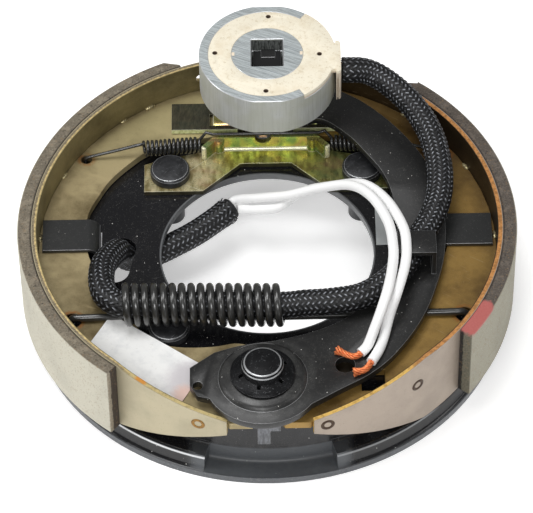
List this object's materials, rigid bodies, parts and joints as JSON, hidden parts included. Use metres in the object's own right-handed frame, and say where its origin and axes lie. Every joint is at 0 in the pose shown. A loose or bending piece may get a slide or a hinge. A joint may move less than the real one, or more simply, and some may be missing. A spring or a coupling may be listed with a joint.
{
  "type": "electric trailer brake",
  "caption": "Electric drum brake assembly for a trailer wheel: backing plate with two lined shoes, springs, adjuster, pivoting arm and magnet with sleeved lead.",
  "frame": {"origin": "centre of the spindle hole on the plate's rear mounting face", "axes": "+Z out of the drum side, along the wheel axis; +Y from the arm's pivot towards the magnet"},
  "size_m": [0.1764, 0.1709, 0.0643],
  "materials": {
    "black_plate": "gloss black coat",
    "black_steel": "satin black",
    "black_oxide": "black oxide",
    "yellow_zinc": "yellow-green zinc plate",
    "olive_zinc": "dull yellow zinc plate",
    "friction": "bonded friction material, matt and speckled",
    "pole_steel": "ground steel",
    "copper": "bare copper",
    "resin": "cream potting resin",
    "sleeve": "braided black sleeve",
    "white_wire": "white insulation"
  },
  "bodies": {
    "root": {"backing_plate": "black_plate", "pivot_pin": "black_oxide", "push_nut": "black_oxide", "mounting_studs": "black_oxide", "adjuster_bracket": "yellow_zinc", "adjuster_housing": "yellow_zinc", "retractor_spring": "black_steel", "adjuster_spring": "black_steel", "hold_down_left": "black_steel", "hold_down_right": "black_steel", "lead_lower": "sleeve", "supply_wire_a": "white_wire", "supply_wire_b": "white_wire", "wire_cores": "copper"},
    "star": {"star_wheel": "yellow_zinc", "adjuster_screw": "yellow_zinc"},
    "socket_left": {"adjuster_socket_left": "yellow_zinc"},
    "socket_right": {"adjuster_socket_right": "yellow_zinc"},
    "secondary_shoe": {"secondary_table": "olive_zinc", "secondary_web": "olive_zinc", "secondary_lining": "friction"},
    "primary_shoe": {"primary_table": "olive_zinc", "primary_web": "olive_zinc", "primary_lining": "friction"},
    "arm": {"actuating_arm": "black_steel", "magnet_post": "black_steel", "magnet_clip": "pole_steel", "magnet_spring": "black_steel", "lead_upper": "sleeve"},
    "magnet": {"magnet_pot": "pole_steel", "magnet_coil": "copper", "magnet_potting": "resin"}
  },
  "joints": [
    {"name": "arm_swing", "type": "hinge", "parent": "root", "child": "arm", "pos_m": [-0.0023, -0.0654, 0.0103], "axis": [0, 0, 1], "range_deg": [0, 6]},
    {"name": "magnet_slide", "type": "slide", "parent": "arm", "child": "magnet", "axis": [0, 0, 1], "range_m": [-0.003, 0], "stiffness_N_per_m": 1500, "springref_m": 0.004, "deforming": ["magnet_spring"]},
    {"name": "star_turn", "type": "hinge", "parent": "root", "child": "star", "pos_m": [-0.0009, 0.06, 0.0063], "axis": [1, 0, 0], "range_deg": [0, 180.1]},
    {"name": "socket_left_slide", "type": "slide", "parent": "root", "child": "socket_left", "axis": [-1, 0, 0], "range_m": [0, 0.000625]},
    {"name": "socket_right_slide", "type": "slide", "parent": "root", "child": "socket_right", "axis": [1, 0, 0], "range_m": [0, 0.00063]},
    {"name": "secondary_shoe_swing", "type": "hinge", "parent": "socket_left", "child": "secondary_shoe", "pos_m": [-0.017, 0.06, 0.0063], "axis": [0, 0, -1], "range_deg": [0, 0.62]},
    {"name": "primary_shoe_swing", "type": "hinge", "parent": "socket_right", "child": "primary_shoe", "pos_m": [0.017, 0.06, 0.0063], "axis": [0, 0, 1], "range_deg": [0, 0.62]}
  ],
  "couplings": [
    {"joint": "star_turn", "follows": "socket_left_slide", "rad_per_m": 5025},
    {"joint": "socket_right_slide", "follows": "socket_left_slide", "ratio": 1},
    {"joint": "primary_shoe_swing", "follows": "arm_swing", "ratio": 0.1022}
  ]
}
